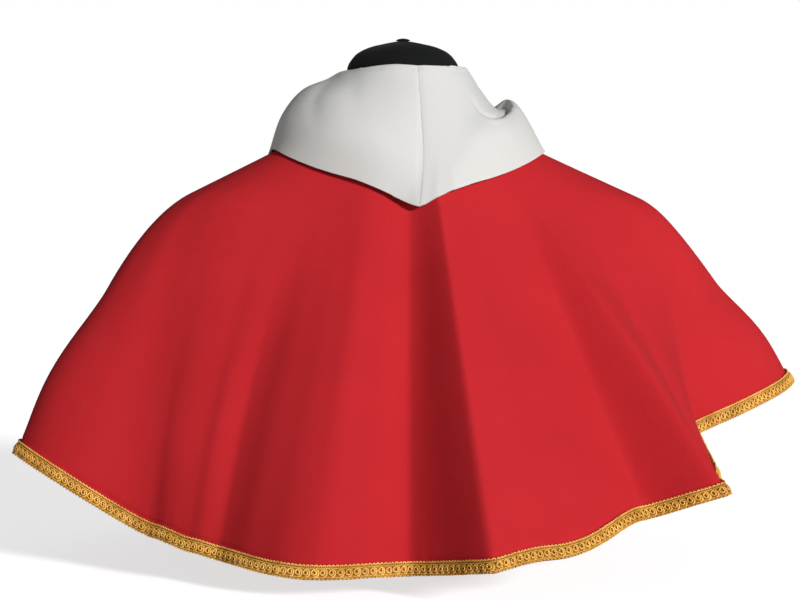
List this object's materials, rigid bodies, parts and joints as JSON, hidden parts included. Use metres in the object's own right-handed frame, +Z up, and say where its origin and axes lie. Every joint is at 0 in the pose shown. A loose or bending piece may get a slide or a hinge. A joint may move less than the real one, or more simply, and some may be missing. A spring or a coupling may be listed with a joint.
{
  "type": "altar server shoulder cape with hood collar, on a bust form",
  "caption": "Flared shoulder cape with a pointed hood collar and braided hem, resting on a low bust form.",
  "frame": {"origin": "centre of the bust form's flat underside", "axes": "+Z up, +Y the way the wearer faces, +X to the wearer's right, across the cape's widest reach"},
  "size_m": [0.8194, 0.676, 0.5175],
  "materials": {
    "red_cloth": "matte twill, stiff enough to hold soft cone-shaped folds",
    "gold_braid": "satin viscose gimp braid with a row of cord scrolls",
    "white_cloth": "matte off-white twill",
    "form_cloth": "black jersey cover of the bust form",
    "form_plastic": "matte black moulding"
  },
  "bodies": {
    "root": {"cape_back": "red_cloth", "cape_front_left": "red_cloth", "cape_front_right": "red_cloth", "braid_back": "gold_braid", "braid_front_left": "gold_braid", "braid_front_right": "gold_braid", "hood_left": "white_cloth", "hood_right": "white_cloth", "form_torso": "form_cloth", "form_nub": "form_plastic", "form_base": "form_plastic"}
  },
  "joints": []
}
